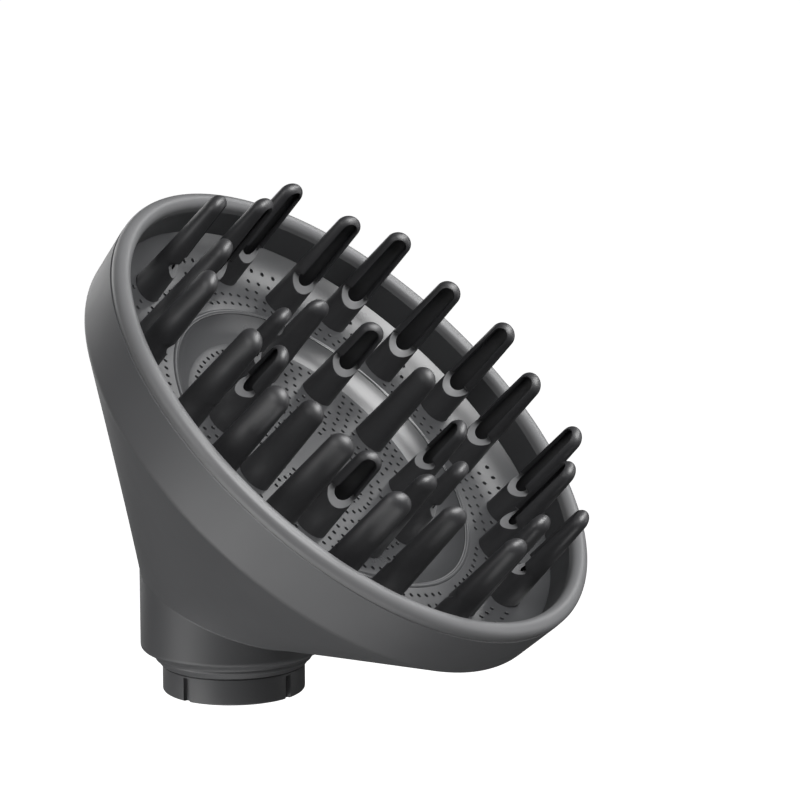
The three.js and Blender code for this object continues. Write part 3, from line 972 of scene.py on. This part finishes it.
    def mesh(self, name):
        """The finished mesh, with the mouth's edge rounded and the sill in a far lighter colour, a
        painted highlight.
        """
        verts, faces, sill_faces, mouth_edges = self.stitched()
        mesh = bpy.data.meshes.new(name)
        mesh.from_pydata([[c * MM for c in v] for v in verts], [], faces)
        mesh.materials.append(PRONG)
        mesh.materials.append(SILL_PAINTED_HIGHLIGHT)
        # the sill faces take the lighter colour, a painted highlight
        for i in sill_faces:
            mesh.polygons[i].material_index = 1
        bm = bmesh.new()
        bm.from_mesh(mesh)
        bmesh.ops.recalc_face_normals(bm, faces=bm.faces)
        bm.verts.ensure_lookup_table()
        found = [bm.edges.get((bm.verts[a], bm.verts[b])) for a, b in mouth_edges]
        bmesh.ops.bevel(bm, geom=[edge for edge in found if edge], offset=MOUTH_EDGE_R * MM,
                        segments=2, profile=0.5, affect="EDGES", clamp_overlap=True)
        bm.to_mesh(mesh)
        bm.free()
        mesh.shade_smooth()
        mesh.set_sharp_from_angle(angle=math.radians(PRONG_SHARP_DEG))
        return mesh


def add_prongs(nodes, places, mesh, faces_out):
    """One copy of a prong at each place. faces_out tells whether a prong's slot faces outwards."""
    for i, (node, (x, y)) in enumerate(zip(nodes, places)):
        stand = Matrix.Translation((x * MM, y * MM, 0))
        half_turn = 0 if faces_out(i) else math.pi
        turn = Matrix.Rotation(math.atan2(y, x) + half_turn, 4, "Z")
        name = node.replace("prong", "finger")
        add_piece(name, mesh, DISH @ stand @ turn, node)


def repaint(node, material):
    """Gives a CAD node that is shown as it is a material."""
    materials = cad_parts[node].data.materials
    materials.clear()
    materials.append(material)


# ---------- assembly ----------
housing_mesh = make_mesh("housing", housing(), 40)
spigot_mesh = cut(make_mesh("spigot", spigot()), notch_cutters())
rim_mesh = make_mesh("rim", rim(), 50)
well_mesh = make_mesh("well_wall", well_wall())
plate_mesh = make_mesh("outer_ring_plate", outer_plate())
dish_mesh = make_mesh("centre_dish", inner_dish())
add_piece("housing", housing_mesh, NECK, "housing_shell", SHELL)
add_piece("spigot", spigot_mesh, NECK, "coupling_spigot", SHELL)
add_piece("rim", rim_mesh, DISH, "rim_bezel", RIM)
# the well wall belongs to the rim moulding but takes the darker, glossier plate plastic
add_piece("well_wall", well_mesh, DISH, "rim_bezel", PLATE)
add_piece("outer_ring_plate", plate_mesh, DISH, "outer_plate", PLATE)
add_piece("centre_dish", dish_mesh, DISH, "inner_dish", PLATE)

outer_mesh = Prong(PLATE_TOP_H, OUTER_TIP_H, OUTER_SLOT_H).mesh("outer_finger")
inner_mesh = Prong(DISC_TOP_H, INNER_TIP_H, INNER_SLOT_H).mesh("inner_finger")
add_prongs(OUTER_PRONGS, outer_places, outer_mesh, lambda i: False)
add_prongs(INNER_PRONGS, inner_places, inner_mesh, lambda i: i % 2 == 0)

for hidden in ("outer_backing_ring", "inner_backing_ring", "air_deflector"):
    repaint(hidden, INNER)
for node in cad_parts:
    if "screw" in node:
        repaint(node, STEEL)


# ---------- stage, lights and camera ----------
FLOOR_Z = -0.6  # in metres, like the sizes below
FLOOR_HALF = 40.0
FLOOR_GLOW = 1.0
WORLD_LIGHT = 0.03  # how bright the white world is to anything but the camera
SOFTBOXES = (  # name, direction from the dish, distance, size, watts
    ("top", (-0.22, -0.68, 0.7), 1.5, 1.3, 38),
    ("top_right", (0.5, -0.5, 0.7), 1.5, 0.8, 11),
    ("right", (0.875, -0.1, 0.475), 0.93, 0.25, 0.45),
    ("left", (-0.92, 0.28, 0.24), 1.5, 1.1, 6),
    ("low_left", (-0.65, 0.45, -0.6), 1.5, 1.2, 11),
    ("below", (-0.35, -0.1, -0.93), 1.5, 1.2, 6),
    ("right_front", (0.6, -0.8, 0.0), 1.5, 1.0, 3),
    ("back", (0.5, 0.85, 0.1), 1.5, 1.1, 5),
)
CAMERA_AZIMUTH = math.radians(-62.05)
CAMERA_ELEVATION = math.radians(9.45)
CAMERA_DISTANCE = 0.634
CAMERA_TARGET = Vector((21.776, -30.0, 63.567)) * MM
CAMERA_LENS = 129.96  # in millimetres, on a sensor 36 mm wide


def add_floor():
    """White ground that only the camera sees, so that it neither lights nor shades the part."""
    mesh = bpy.data.meshes.new("floor")
    corners = ((-1, -1), (1, -1), (1, 1), (-1, 1))
    verts = [(x * FLOOR_HALF, y * FLOOR_HALF, FLOOR_Z) for x, y in corners]
    mesh.from_pydata(verts, [], [(0, 1, 2, 3)])
    floor = bpy.data.objects.new("floor", mesh)
    bpy.context.scene.collection.objects.link(floor)
    material = bpy.data.materials.new("floor_white")
    material.use_nodes = True
    shader = material.node_tree.nodes["Principled BSDF"]
    shader.inputs["Base Color"].default_value = (0.9, 0.9, 0.9, 1)
    shader.inputs["Roughness"].default_value = 1.0
    shader.inputs["Specular IOR Level"].default_value = 0.0
    shader.inputs["Emission Color"].default_value = (1, 1, 1, 1)
    shader.inputs["Emission Strength"].default_value = FLOOR_GLOW
    mesh.materials.append(material)
    floor.visible_diffuse = False
    floor.visible_glossy = False
    floor.visible_transmission = False
    floor.visible_shadow = False


def add_softbox(name, direction, distance, size, energy, target):
    """A round soft light that faces the target, from a direction."""
    lamp = bpy.data.lights.new(name, "AREA")
    lamp.shape = "DISK"
    lamp.size = size
    lamp.energy = energy
    light = bpy.data.objects.new(name, lamp)
    bpy.context.scene.collection.objects.link(light)
    back = Vector(direction).normalized()
    light.location = target + back * distance
    light.rotation_mode = "QUATERNION"
    light.rotation_quaternion = back.to_track_quat("Z", "Y")


def add_camera():
    """The photograph's viewing angle: from the dish's front and left, a little above."""
    back = Vector((
        math.sin(CAMERA_AZIMUTH) * math.cos(CAMERA_ELEVATION),
        -math.cos(CAMERA_AZIMUTH) * math.cos(CAMERA_ELEVATION),
        math.sin(CAMERA_ELEVATION),
    ))
    data = bpy.data.cameras.new("camera")
    data.lens = CAMERA_LENS
    camera = bpy.data.objects.new("camera", data)
    bpy.context.scene.collection.objects.link(camera)
    camera.location = CAMERA_TARGET + back * CAMERA_DISTANCE
    camera.rotation_mode = "QUATERNION"
    camera.rotation_quaternion = (-back).to_track_quat("-Z", "Y")
    bpy.context.scene.camera = camera


def add_world():
    """White behind the part, and nearly dark to everything but the camera."""
    world = bpy.data.worlds.new("studio")
    world.use_nodes = True
    tree = world.node_tree
    background = tree.nodes["Background"]
    background.inputs["Color"].default_value = (1, 1, 1, 1)
    ray = tree.nodes.new("ShaderNodeLightPath")
    strength = tree.nodes.new("ShaderNodeMapRange")
    strength.inputs["To Min"].default_value = WORLD_LIGHT
    strength.inputs["To Max"].default_value = 1.0
    tree.links.new(ray.outputs["Is Camera Ray"], strength.inputs["Value"])
    tree.links.new(strength.outputs["Result"], background.inputs["Strength"])
    bpy.context.scene.world = world


add_floor()
add_world()
add_camera()
for softbox in SOFTBOXES:
    add_softbox(*softbox, target=dish_origin * MM)

bpy.context.scene.view_settings.view_transform = "Standard"
